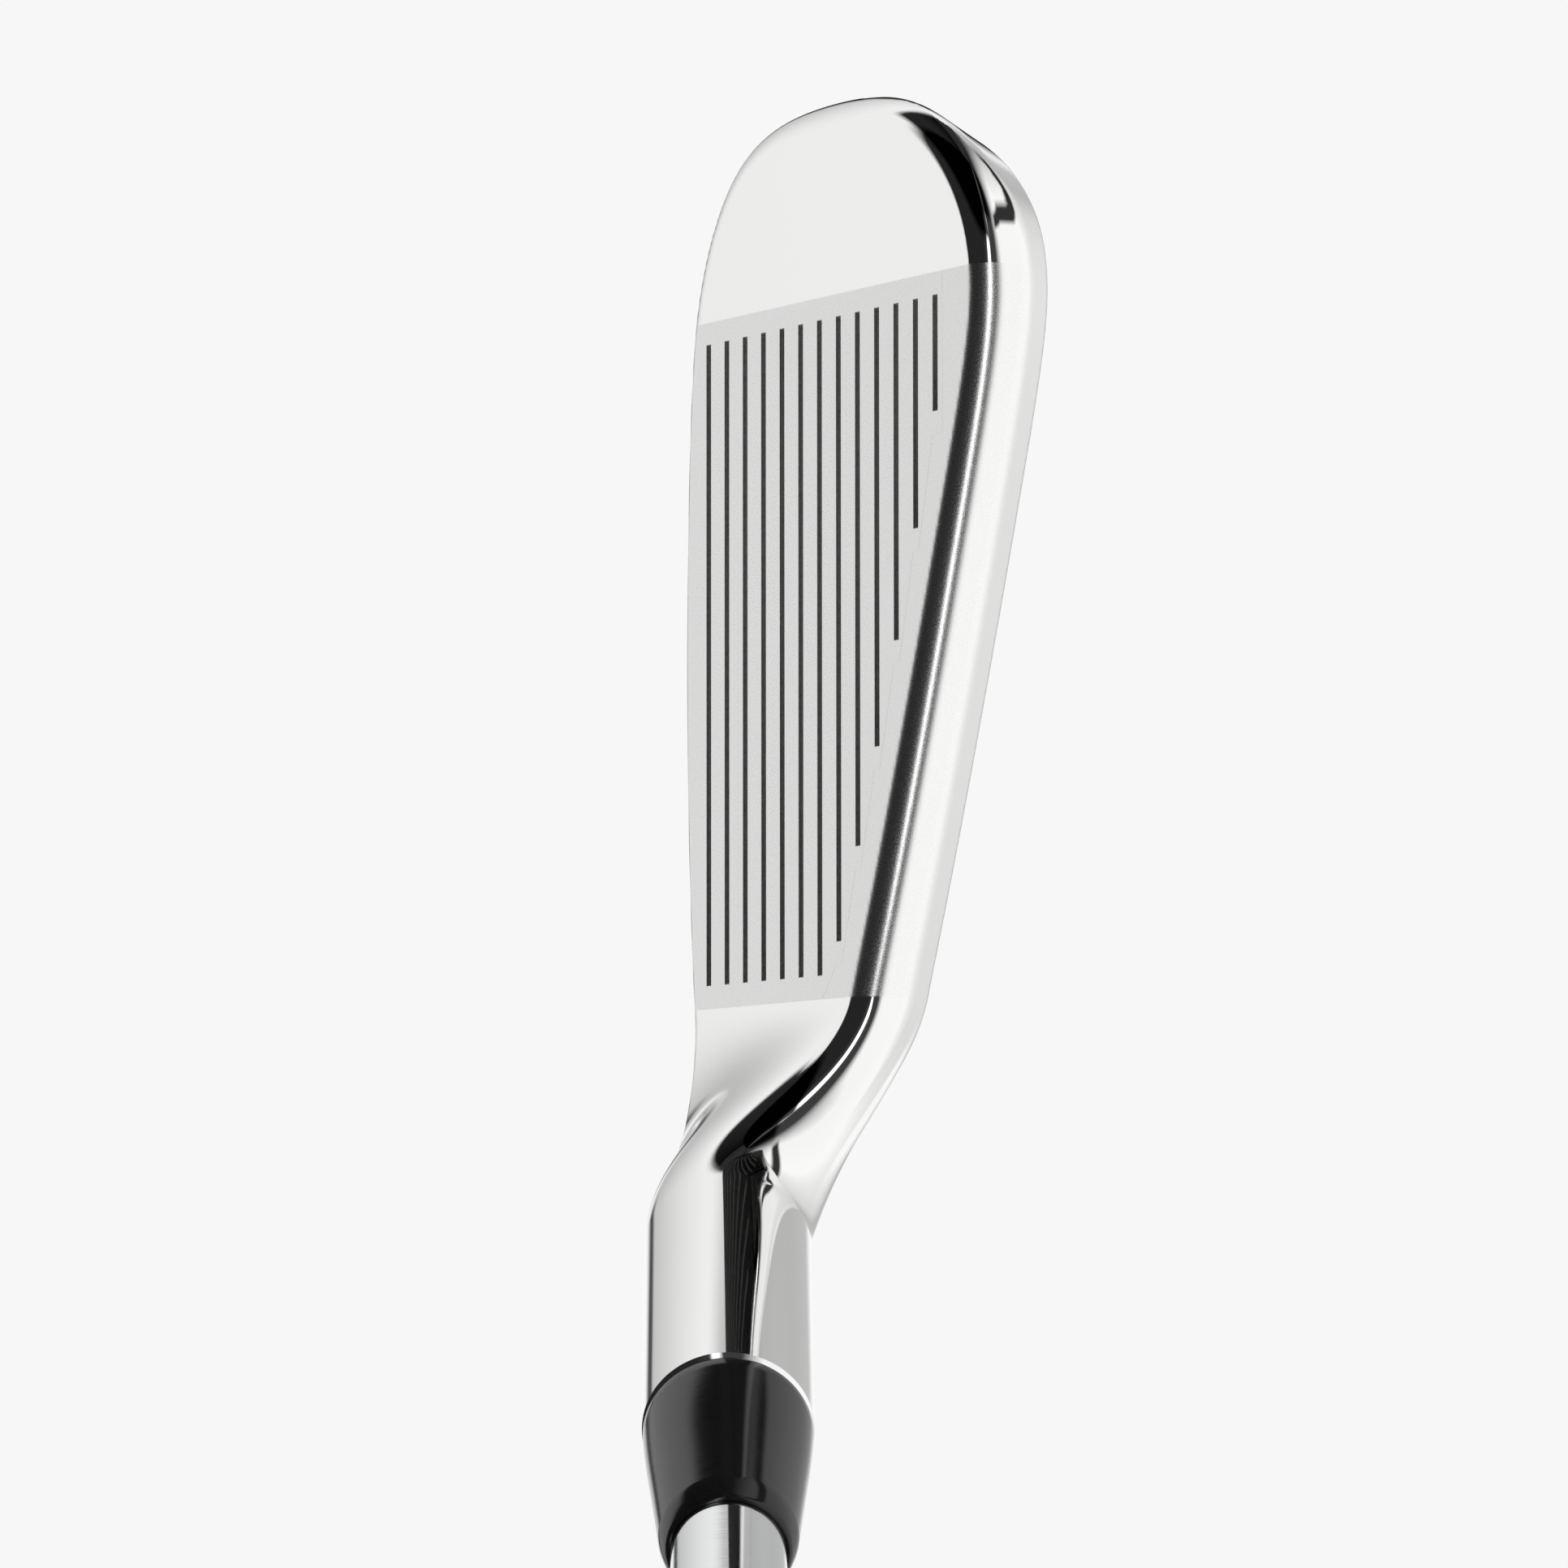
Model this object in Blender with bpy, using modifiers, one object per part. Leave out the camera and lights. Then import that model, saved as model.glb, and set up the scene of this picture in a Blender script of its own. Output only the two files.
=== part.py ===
"""Iron golf club: forged hollow head, face plate, ferrule, stepped steel shaft and rubber grip.

The club stands soled at address. The origin is the centre of the sole's flat land, +Z is up, the score
lines run along X with the toe at -X, and the face looks towards -Y. Lengths are in millimetres, scaled
by MM.
"""

import math

import bmesh
import bpy
from mathutils import Matrix, Vector

MM = 0.001

# Driving dimensions
LOFT = math.radians(26.0)
LIE = math.radians(62.2)
FACE_FOOT_Y = -8.4         # where the face plane meets the ground, in front of the sole's flat land
AXIS_FOOT = (33.4, -3.8)   # where the shaft axis meets the ground
BLADE_DEPTH = 7.0          # from the face to the back of the blade, above the muscle
EDGE_ROUND = 2.25          # radius between the face and the perimeter
BACK_BEVEL = 2.0
SOLE_CAMBER = 260.0        # heel-to-toe radius of the sole
PLATE_DEPTH = 2.3
DEEP_HOLLOW = (-30, 15)    # from toe to heel
WEIGHT_END = -13
BADGE_RECESS = 1.5
FIT = 0.15                 # clearance round the face plate and the badge

HOSEL_RADIUS = 6.85
HOSEL_TOP = 67.9           # measured along the shaft axis from the ground, as are all the heights below
BORE_RADIUS = 4.95
BORE_DEPTH = 32.0
FERRULE_LENGTH = 20.0
FERRULE_LIP_RADIUS = 5.5
SHAFT_TIP_RADIUS = 4.525
SHAFT_BUTT_RADIUS = 7.62
SHAFT_WALL = 0.5
STEP_COUNT = 13
FIRST_STEP = 175.0         # from the tip
STEP_PITCH = 30.0
CLUB_LENGTH = 940.0
GRIP_LENGTH = 267.0
CAP_THICKNESS = 4.0
ROUND_SEGMENTS = 32

# Blade outline in the face plane: x towards the heel, height up the face from the ground
BLADE_OUTLINE = [
    (0, 0.9), (-14, 1.2), (-23, 1.8), (-31, 3.3), (-37.5, 6.4), (-42.3, 11.2), (-44.8, 17.5), (-45.6, 25.5),
    (-45.4, 34.5), (-44.0, 42.2), (-41.2, 48.2), (-37.6, 52.7), (-33.2, 55.8), (-28.3, 57.1), (-22.5, 56.4),
    (-12, 52.8), (3.5, 46.8), (20.9, 39.6), (30.7, 35.4), (38.0, 30.6), (43.0, 24.5), (45.8, 17.5),
    (45.2, 10.5), (40.5, 5.4), (34, 3.2), (27, 2.1), (14, 1.2),
]
# Outline of the welded face plate, inside the blade's edge
PLATE_OUTLINE = [
    (0, 4.6), (-20, 4.9), (-31, 7.0), (-38.2, 12.8), (-41.6, 23.0), (-41.6, 34.0), (-38.6, 44.0),
    (-33.8, 50.4), (-28.2, 52.8), (-20.0, 51.2), (-4.0, 45.4), (12.0, 38.8), (25.0, 33.4), (30.6, 27.5),
    (31.8, 18.0), (30.6, 8.4), (26, 5.4), (14, 4.7),
]
# Outline of the badge in the back of the blade
BADGE_OUTLINE = [
    (-8, 30.6), (-24, 31.0), (-35.0, 31.8), (-38.4, 34.6), (-37.8, 40.4), (-34.6, 46.8), (-30.0, 50.2),
    (-23.0, 49.8), (-11.0, 45.8), (4.0, 40.0), (15.0, 35.6), (19.6, 32.8), (17.5, 31.0), (8, 30.6),
]
# Trailing edge of the sole in plan: x towards the heel, y behind the face's foot
TRAILING_EDGE = [
    (-47, 7.0), (-44.6, 12.6), (-41.4, 16.6), (-37.0, 19.6), (-31.0, 21.6), (-23.0, 22.5), (-13, 22.7),
    (-3, 22.3), (8, 21.3), (18, 19.6), (28, 17.2), (37, 14.0), (46, 10.0),
]

SCORE_COUNT = 13
SCORE_PITCH = 3.5
SCORE_WIDTH = 0.9
SCORE_DEPTH = 0.5
SCORE_HALF_LENGTH = 27.3
FIRST_SCORE = 7.0
SHORT_SCORE_ENDS = {7: 24.6, 8: 16.9, 9: 8.9, 10: 0.4, 11: -8.5, 12: -17.8}  # heel ends of the short lines

# Colour, roughness and metallic of each material
COLOURS = {
    "chrome": ((0.80, 0.80, 0.79), 0.06, 1.0),
    "satin_steel": ((0.72, 0.72, 0.71), 0.35, 1.0),
    "tungsten": ((0.28, 0.28, 0.30), 0.45, 1.0),
    "urethane": ((0.55, 0.62, 0.66), 0.60, 0.0),
    "aluminium": ((0.78, 0.78, 0.79), 0.30, 1.0),
    "brass": ((0.72, 0.55, 0.25), 0.30, 1.0),
    "epoxy": ((0.62, 0.58, 0.45), 0.50, 0.0),
    "black_plastic": ((0.02, 0.02, 0.02), 0.15, 0.0),
    "black_rubber": ((0.03, 0.03, 0.03), 0.75, 0.0),
    "badge_alloy": ((0.12, 0.12, 0.13), 0.35, 1.0),
    "tape": ((0.85, 0.83, 0.78), 0.80, 0.0),
    "label": ((0.10, 0.10, 0.11), 0.40, 0.0),
}


def make_material(name):
    colour, roughness, metallic = COLOURS[name]
    material = bpy.data.materials.new(name)
    material.use_nodes = True
    shader = material.node_tree.nodes["Principled BSDF"]
    shader.inputs["Base Color"].default_value = (*colour, 1)
    shader.inputs["Roughness"].default_value = roughness
    shader.inputs["Metallic"].default_value = metallic
    material.diffuse_color = (*colour, 1)
    return material


def side_point(height, depth):
    """World (y, z) of a point given by its height up the face and its depth behind it."""
    return (
        FACE_FOOT_Y + height * math.sin(LOFT) + depth * math.cos(LOFT),
        height * math.cos(LOFT) - depth * math.sin(LOFT),
    )


def make_frame(name, location, rotation):
    frame = bpy.data.objects.new(name, None)
    frame.location = [value * MM for value in location]
    frame.rotation_euler = rotation
    club.objects.link(frame)
    return frame


def link(name, mesh, collection, parent, material=None):
    obj = bpy.data.objects.new(name, mesh)
    collection.objects.link(obj)
    obj.parent = parent
    if material:
        mesh.materials.append(MATERIALS[material])
    if collection == cutters:
        obj.hide_render = True
        obj.display_type = "WIRE"
    return obj


def smooth_loop(points, steps=3):
    """A closed Catmull-Rom curve through the points."""
    loop = []
    count = len(points)
    for i in range(count):
        before, here, after, beyond = (Vector(points[(i + k) % count]) for k in (-1, 0, 1, 2))
        for step in range(steps):
            t = step / steps
            loop.append(0.5 * (
                2 * here + (after - before) * t
                + (2 * before - 5 * here + 4 * after - beyond) * t * t
                + (3 * here - before - 3 * after + beyond) * t ** 3
            ))
    return loop


def inset_loop(loop, distance):
    """The loop moved inwards along its normals. It runs clockwise seen from the face's front."""
    moved = []
    for i, point in enumerate(loop):
        along = (loop[(i + 1) % len(loop)] - loop[i - 1]).normalized()
        moved.append(point + distance * Vector((along.y, -along.x)))
    return moved


def prism(name, loop, near, far, collection, parent, material=None):
    """A flat outline filled and extruded between two depths behind the local XY plane, as a welded mesh."""
    data = bpy.data.curves.new(name, "CURVE")
    data.dimensions = "2D"
    data.fill_mode = "BOTH"
    data.extrude = (far - near) / 2 * MM
    spline = data.splines.new("POLY")
    spline.points.add(len(loop) - 1)
    for point, (x, y) in zip(spline.points, loop):
        point.co = (x * MM, y * MM, 0, 1)
    spline.use_cyclic_u = True
    guide = bpy.data.objects.new(name + "_outline", data)
    bpy.context.scene.collection.objects.link(guide)
    bpy.context.view_layer.update()
    evaluated = guide.evaluated_get(bpy.context.evaluated_depsgraph_get())
    mesh = bpy.data.meshes.new_from_object(evaluated)
    bpy.data.objects.remove(guide)
    mesh.transform(Matrix.Translation((0, 0, -(near + far) / 2 * MM)))
    work = bmesh.new()
    work.from_mesh(mesh)
    bmesh.ops.remove_doubles(work, verts=work.verts, dist=1e-6)
    bmesh.ops.recalc_face_normals(work, faces=work.faces)
    work.to_mesh(mesh)
    work.free()
    mesh.name = name
    return link(name, mesh, collection, parent, material)


def side_prism(name, points, toe_end, heel_end, collection, material=None):
    """A side profile of world (y, z) points, extruded along world X."""
    return prism(name, points, -heel_end, -toe_end, collection, side_frame, material)


def loft(name, rings, collection, parent, material=None):
    """Skins rings of equal point counts and closes both ends."""
    work = bmesh.new()
    rows = [[work.verts.new(point * MM) for point in ring] for ring in rings]
    for first, second in zip(rows, rows[1:]):
        for i in range(len(first)):
            j = (i + 1) % len(first)
            work.faces.new((first[i], first[j], second[j], second[i]))
    work.faces.new(rows[0][::-1])
    work.faces.new(rows[-1])
    bmesh.ops.triangulate(work, faces=work.faces)
    bmesh.ops.recalc_face_normals(work, faces=work.faces)
    mesh = bpy.data.meshes.new(name)
    work.to_mesh(mesh)
    work.free()
    return link(name, mesh, collection, parent, material)


def turned(name, profile, collection, parent, material=None, closed=True, segments=ROUND_SEGMENTS):
    """A profile of (radius, height) pairs turned about the local Z axis, closed where it rings a hole."""
    mesh = bpy.data.meshes.new(name)
    edges = [(i, i + 1) for i in range(len(profile) - 1)]
    if closed:
        edges.append((len(profile) - 1, 0))
    mesh.from_pydata([(r * MM, 0, z * MM) for r, z in profile], edges, [])
    obj = link(name, mesh, collection, parent, material)
    screw = obj.modifiers.new("Turn", "SCREW")
    screw.axis = "Z"
    screw.steps = screw.render_steps = segments
    screw.use_merge_vertices = True
    screw.merge_threshold = 1e-6
    screw.use_smooth_shade = True
    return obj


def boolean(obj, other, operation, solver="EXACT"):
    """Joins, cuts or trims obj by other. The head's many shallow crossings close only with MANIFOLD."""
    modifier = obj.modifiers.new(operation.title(), "BOOLEAN")
    modifier.operation = operation
    modifier.solver = solver
    modifier.object = other


def make_blade():
    """The slab between the face and the back, with a rounded front edge and a bevelled back edge."""
    arc = [math.radians(angle) for angle in (90, 62, 34, 0)]
    layers = [(EDGE_ROUND * (1 - math.cos(a)), EDGE_ROUND * (1 - math.sin(a))) for a in arc]
    layers += [(0, BLADE_DEPTH - 2.4), (BACK_BEVEL * 0.62, BLADE_DEPTH - 0.9), (BACK_BEVEL, BLADE_DEPTH)]
    rings = [[Vector((x, y, -depth)) for x, y in inset_loop(blade_loop, inset)] for inset, depth in layers]
    return loft("head_body", rings, club, face_frame, "chrome")


def make_muscle():
    """The thick lower back, bounded by its side profile and by the trailing edge in plan."""
    muscle = prism("muscle_form", inset_loop(blade_loop, 0.8), 3.4, 26.0, cutters, face_frame)
    profile = [side_point(33, 4.0), side_point(31, BLADE_DEPTH - 0.1), side_point(28, 7.6)]
    profile += [side_point(24.5, 9.4), side_point(21, 12.6), side_point(18.5, 15.6), side_point(16, 17.2)]
    profile += [(FACE_FOOT_Y + 22.6, 5.4), (FACE_FOOT_Y + 21.8, 2.4), (12.5, -4), (-12, -4), (-8, 4)]
    plan = [(x, y + FACE_FOOT_Y) for x, y in TRAILING_EDGE] + [(60, -30), (-60, -30)]
    boolean(muscle, side_prism("muscle_side", profile, -60, 60, cutters), "INTERSECT")
    boolean(muscle, prism("muscle_plan", plan, -60, 60, cutters, None), "INTERSECT")
    return muscle


def make_hosel():
    """Stacked circles on the shaft axis, drawn back and narrowed where they run into the heel."""
    stations = [
        (HOSEL_TOP, HOSEL_RADIUS - 0.5, 0), (HOSEL_TOP - 0.5, HOSEL_RADIUS, 0), (34, HOSEL_RADIUS, 0),
        (26, HOSEL_RADIUS, 0.3), (20, 6.7, 1.0), (15, 6.3, 1.9), (11, 5.6, 2.6), (8, 4.6, 3.0),
        (6, 3.2, 3.2),
    ]
    rings = []
    for height, radius, shift in stations:
        angles = [2 * math.pi * i / ROUND_SEGMENTS for i in range(ROUND_SEGMENTS)]
        rings.append([Vector((radius * math.cos(a), shift + radius * math.sin(a), height)) for a in angles])
    return loft("hosel_form", rings, cutters, shaft_frame)


def make_heel_web():
    """Sections that swing from the blade's own section into the hosel's circle."""
    up = Vector((0, math.sin(LOFT), math.cos(LOFT)))
    back = Vector((0, math.cos(LOFT), -math.sin(LOFT)))
    axis = Vector((math.cos(LIE), 0, math.sin(LIE)))
    across = Vector((-math.sin(LIE), 0, math.cos(LIE)))
    blade_root = Vector((25, FACE_FOOT_Y, 0))
    hosel_root = Vector((*AXIS_FOOT, 0)) + 38 * axis
    rings = [[] for _ in range(9)]
    for i in range(ROUND_SEGMENTS):
        angle = 2 * math.pi * i / ROUND_SEGMENTS
        c, s = math.cos(angle), math.sin(angle)
        height = 20.8 + 14.4 * math.copysign(abs(c) ** 0.7, c)
        depth = 3.6 + 3.2 * math.copysign(abs(s) ** 0.7, s)
        start = blade_root + height * up + depth * back
        end = hosel_root + (HOSEL_RADIUS - 0.05) * (c * across + s * Vector((0, 1, 0)))
        pull = (end - start).length * 1.05
        leave = (Vector((1, 0, 0)) - 0.2 * (1 + c) * up).normalized() * pull
        arrive = axis * pull
        for step, ring in enumerate(rings):
            t = step / (len(rings) - 1)
            ring.append(
                (2 * t ** 3 - 3 * t ** 2 + 1) * start + (t ** 3 - 2 * t ** 2 + t) * leave
                + (3 * t ** 2 - 2 * t ** 3) * end + (t ** 3 - t ** 2) * arrive
            )
    return loft("heel_web", rings, cutters, None)


def make_sole_camber():
    """A wide cylinder along Y with one facet flat on the ground under the origin."""
    facets = 240
    bpy.ops.mesh.primitive_cylinder_add(vertices=facets, radius=SOLE_CAMBER * MM, depth=0.16)
    cylinder = bpy.context.object
    mesh = cylinder.data
    bpy.data.objects.remove(cylinder)
    camber = link("sole_camber", mesh, cutters, None)
    half_facet = math.pi / facets
    camber.rotation_euler = (math.pi / 2, half_facet, 0)
    camber.location = (0, 0, SOLE_CAMBER * math.cos(half_facet) * MM)
    return camber


def make_hollow():
    """The space behind the face plate: thin above, deep in the muscle."""
    hollow = prism("hollow", inset_loop(plate_loop, 3.0), 1, 4.4, cutters, face_frame)
    profile = [
        (6.6, 1), (7.4, 5.0), (9.4, 9.0), (13.0, 11.6), (17.0, 11.0), (20.5, 7.6), (24.0, 4.0), (24.0, 1),
    ]
    lower = side_prism("hollow_low", [side_point(*point) for point in profile], *DEEP_HOLLOW, cutters)
    boolean(hollow, lower, "UNION")
    return hollow


def make_head_body():
    relief = [(-60, 12), (-7.6, 1.1), (-4.6, 0.1), (-4.0, -0.3), (4.4, -0.3), (5.0, 0.1), (10, 1.0)]
    relief += [(15, 2.4), (60, 24), (60, 200), (-60, 200)]
    bottom = HOSEL_TOP - BORE_DEPTH
    bore = [(0, HOSEL_TOP + 1), (BORE_RADIUS, HOSEL_TOP + 1), (BORE_RADIUS, bottom), (0, bottom - 2.5)]
    pocket_loop = inset_loop(plate_loop, -FIT)
    recess_loop = inset_loop(badge_loop, -FIT)
    floor = BLADE_DEPTH - BADGE_RECESS
    port = [(0, 1), (2.6, 1), (2.6, -4), (0, -4)]
    steps = [
        ("UNION", make_muscle()),
        ("UNION", make_hosel()),
        ("UNION", make_heel_web()),
        ("INTERSECT", make_sole_camber()),
        ("INTERSECT", side_prism("sole_relief", relief, -120, 120, cutters)),
        ("DIFFERENCE", prism("plate_pocket", pocket_loop, -1, PLATE_DEPTH + FIT, cutters, face_frame)),
        ("DIFFERENCE", make_hollow()),
        ("DIFFERENCE", turned("bore", bore, cutters, shaft_frame, closed=False)),
        ("DIFFERENCE", prism("badge_recess", recess_loop, floor, 12, cutters, face_frame)),
        ("DIFFERENCE", turned("port_hole", port, cutters, port_frame, closed=False, segments=16)),
    ]
    body = make_blade()
    for operation, other in steps:
        boolean(body, other, operation, "MANIFOLD")
    return body


def make_face_plate():
    """The striking face, with its score lines cut as flat-bottomed troughs."""
    plate = prism("face_plate", plate_loop, 0, PLATE_DEPTH, club, face_frame, "satin_steel")
    work = bmesh.new()
    for line in range(SCORE_COUNT):
        height = FIRST_SCORE + line * SCORE_PITCH
        heel_end = SHORT_SCORE_ENDS.get(line, SCORE_HALF_LENGTH)
        length = heel_end + SCORE_HALF_LENGTH
        made = bmesh.ops.create_cube(work, size=1)["verts"]
        for vert in made:
            floor = vert.co.z < 0
            vert.co.x = ((heel_end - SCORE_HALF_LENGTH) / 2 + vert.co.x * (length - 0.6 * floor)) * MM
            vert.co.y = (height + vert.co.y * (SCORE_WIDTH - 0.3 * floor)) * MM
            vert.co.z = (-SCORE_DEPTH if floor else 0.15) * MM
    mesh = bpy.data.meshes.new("score_lines")
    work.to_mesh(mesh)
    work.free()
    boolean(plate, link("score_lines", mesh, cutters, face_frame), "DIFFERENCE")
    return plate


def make_head_fillings():
    """The toe weight and the foam that share the hollow, the port plug, and the badge on its tape."""
    profile = [(7.6, 2.9), (8.4, 5.4), (10.2, 8.6), (13.0, 11.0), (16.6, 10.4), (19.6, 7.4), (19.6, 2.9)]
    weight = [side_point(*point) for point in profile]
    side_prism("toe_weight", weight, DEEP_HOLLOW[0] + 0.5, WEIGHT_END, club, "tungsten")
    profile = [
        (7.4, 2.8), (8.2, 5.2), (10.0, 8.6), (13.1, 11.2), (16.7, 10.6), (20.2, 7.2), (23.6, 3.9), (23.6, 2.8),
    ]
    foam = [side_point(*point) for point in profile]
    fill = prism("damping_fill", inset_loop(plate_loop, 3.4), 2.8, 4.1, club, face_frame, "urethane")
    lower = side_prism("foam_low", foam, WEIGHT_END + 0.4, DEEP_HOLLOW[1] - 0.4, cutters)
    boolean(fill, lower, "UNION")
    room = [side_point(*point) for point in [(0, 0), (0, 30), (20.2, 30), (20.2, 0)]]
    boolean(fill, side_prism("weight_room", room, -60, WEIGHT_END + 0.4, cutters), "DIFFERENCE")

    plug = [(0, 0), (2.4, 0), (2.4, -1.0), (0, -1.0)]
    turned("port_plug", plug, club, port_frame, "aluminium", closed=False, segments=16)
    floor = BLADE_DEPTH - BADGE_RECESS
    prism("badge_tape", inset_loop(badge_loop, 0.8), floor + 0.1, floor + 0.4, club, face_frame, "tape")
    layers = [(0, floor + 0.5), (0, BLADE_DEPTH - 0.3), (0.4, BLADE_DEPTH)]
    rings = [[Vector((x, y, -depth)) for x, y in inset_loop(badge_loop, inset)] for inset, depth in layers]
    loft("back_badge", rings, club, face_frame, "badge_alloy")


def make_shaft():
    tip = HOSEL_TOP - BORE_DEPTH + 0.4
    butt = CLUB_LENGTH - CAP_THICKNESS - 0.4
    grow = (SHAFT_BUTT_RADIUS - SHAFT_TIP_RADIUS) / STEP_COUNT
    outside = [(SHAFT_TIP_RADIUS - 0.4, tip), (SHAFT_TIP_RADIUS, tip + 0.4)]
    inside = [(SHAFT_TIP_RADIUS - SHAFT_WALL, tip)]
    for step in range(STEP_COUNT):
        height = tip + FIRST_STEP + step * STEP_PITCH
        radius = SHAFT_TIP_RADIUS + step * grow
        outside += [(radius, height), (radius + grow, height + 1.0)]
        inside += [(radius - SHAFT_WALL, height), (radius + grow - SHAFT_WALL, height + 1.0)]
    outside.append((SHAFT_BUTT_RADIUS, butt))
    inside.append((SHAFT_BUTT_RADIUS - SHAFT_WALL, butt))
    turned("shaft", outside[::-1] + inside, club, shaft_frame, "chrome")

    bore_floor = HOSEL_TOP - BORE_DEPTH
    inner, outer = SHAFT_TIP_RADIUS + 0.08, BORE_RADIUS - 0.08
    low, high = bore_floor + 0.3, HOSEL_TOP - 0.3
    sleeve = [(outer, high), (outer, low), (inner, low), (inner, high)]
    turned("epoxy_sleeve", sleeve, club, shaft_frame, "epoxy")
    plug = SHAFT_TIP_RADIUS - SHAFT_WALL - 0.2
    profile = [(0, tip + 22), (plug - 0.8, tip + 22), (plug, tip + 21), (plug, tip + 0.5), (0, tip + 0.5)]
    turned("tip_weight", profile, club, shaft_frame, "brass", closed=False)

    low, high = HOSEL_TOP + 0.3, HOSEL_TOP + FERRULE_LENGTH
    bore = SHAFT_TIP_RADIUS + 0.12
    profile = [
        (bore, high), (FERRULE_LIP_RADIUS - 0.4, high), (FERRULE_LIP_RADIUS, high - 0.6), (6.05, high - 7),
        (6.5, high - 12), (HOSEL_RADIUS - 0.05, low + 4), (HOSEL_RADIUS - 0.05, low + 0.2),
        (HOSEL_RADIUS - 0.3, low), (bore, low),
    ]
    turned("ferrule", profile, club, shaft_frame, "black_plastic")
    first, last = tip + FIRST_STEP + (STEP_COUNT - 1) * STEP_PITCH + 14, CLUB_LENGTH - GRIP_LENGTH - 26
    inner, outer = SHAFT_BUTT_RADIUS + 0.08, SHAFT_BUTT_RADIUS + 0.3
    film = [(outer, last), (outer, first), (inner, first), (inner, last)]
    turned("shaft_band", film, club, shaft_frame, "label")


def make_grip():
    mouth, end = CLUB_LENGTH - GRIP_LENGTH, CLUB_LENGTH - CAP_THICKNESS - 0.3
    inner, outer = SHAFT_BUTT_RADIUS + 0.08, SHAFT_BUTT_RADIUS + 0.3
    tape = [(outer, end - 2), (outer, mouth + 4), (inner, mouth + 4), (inner, end - 2)]
    turned("grip_tape", tape, club, shaft_frame, "tape")
    bore = SHAFT_BUTT_RADIUS + 0.4
    profile = [
        (bore, end), (13.2, end), (13.4, end - 3), (13.0, end - 12), (12.2, end - 45), (11.4, end - 90),
        (10.7, end - 150), (10.0, end - 215), (9.7, mouth + 14), (10.2, mouth + 10), (10.2, mouth + 3),
        (9.6, mouth), (bore, mouth),
    ]
    turned("grip", profile, club, shaft_frame, "black_rubber")
    top, base = CLUB_LENGTH, CLUB_LENGTH - CAP_THICKNESS
    cap = [(1.2, top), (11.5, top), (13.4, top - 1.2), (13.6, base), (1.2, base)]
    turned("grip_cap", cap, club, shaft_frame, "black_rubber")


for existing in list(bpy.data.objects):
    bpy.data.objects.remove(existing)

MATERIALS = {name: make_material(name) for name in COLOURS}
club = bpy.data.collections.new("iron_golf_club")
cutters = bpy.data.collections.new("cutters")
bpy.context.scene.collection.children.link(club)
bpy.context.scene.collection.children.link(cutters)

blade_loop = smooth_loop(BLADE_OUTLINE)
plate_loop = smooth_loop(PLATE_OUTLINE, steps=2)
badge_loop = smooth_loop(BADGE_OUTLINE, steps=2)

# X to the heel, Y up the face, Z out of the face
face_frame = make_frame("face_frame", (0, FACE_FOOT_Y, 0), (math.pi / 2 - LOFT, 0, 0))
# Z up the shaft axis
shaft_frame = make_frame("shaft_frame", (*AXIS_FOOT, 0), (0, math.pi / 2 - LIE, 0))
# Z out of the back of the blade, at the floor of the badge's recess
port_floor = side_point(38, BLADE_DEPTH - BADGE_RECESS)
port_frame = make_frame("port_frame", (-10, *port_floor), (-math.pi / 2 - LOFT, 0, 0))
# Local X is world Y and local Y is world Z, for side profiles extruded along world X
side_frame = make_frame("side_frame", (0, 0, 0), (math.pi / 2, 0, math.pi / 2))

make_head_body()
make_face_plate()
make_head_fillings()
make_shaft()
make_grip()
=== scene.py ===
import math

import bmesh
import bpy
import numpy as np
from mathutils import Matrix, Vector


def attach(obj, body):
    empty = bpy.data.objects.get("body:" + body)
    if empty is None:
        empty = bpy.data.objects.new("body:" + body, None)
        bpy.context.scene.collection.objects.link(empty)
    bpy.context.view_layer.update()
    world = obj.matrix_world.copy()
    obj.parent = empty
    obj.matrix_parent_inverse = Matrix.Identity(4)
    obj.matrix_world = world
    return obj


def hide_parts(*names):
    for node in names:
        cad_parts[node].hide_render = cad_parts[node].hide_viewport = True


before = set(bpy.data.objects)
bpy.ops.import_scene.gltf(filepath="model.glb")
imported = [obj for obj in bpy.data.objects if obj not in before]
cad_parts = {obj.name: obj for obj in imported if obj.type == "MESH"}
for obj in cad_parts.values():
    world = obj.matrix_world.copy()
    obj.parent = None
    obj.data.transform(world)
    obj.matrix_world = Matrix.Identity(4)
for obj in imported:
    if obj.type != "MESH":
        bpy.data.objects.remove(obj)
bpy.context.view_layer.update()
mm = 0.001
print("frame loaded")

# where the face and the shaft stand; lengths are in millimetres until a mesh is made
club = {
    "loft": math.radians(26.0),
    "lie": math.radians(62.2),
    "faceFoot": np.array([0.0, -8.4, 0.0]),
    "shaftFoot": np.array([33.4, -3.8, 0.0]),
}
faceUp = np.array([0.0, math.sin(club["loft"]), math.cos(club["loft"])])
faceBack = np.array([0.0, math.cos(club["loft"]), -math.sin(club["loft"])])
shaftAxis = np.array([math.cos(club["lie"]), 0.0, math.sin(club["lie"])])
shaftAcross = np.array([-math.sin(club["lie"]), 0.0, math.cos(club["lie"])])  # towards the toe and up


# ---- curves and distances

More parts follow.
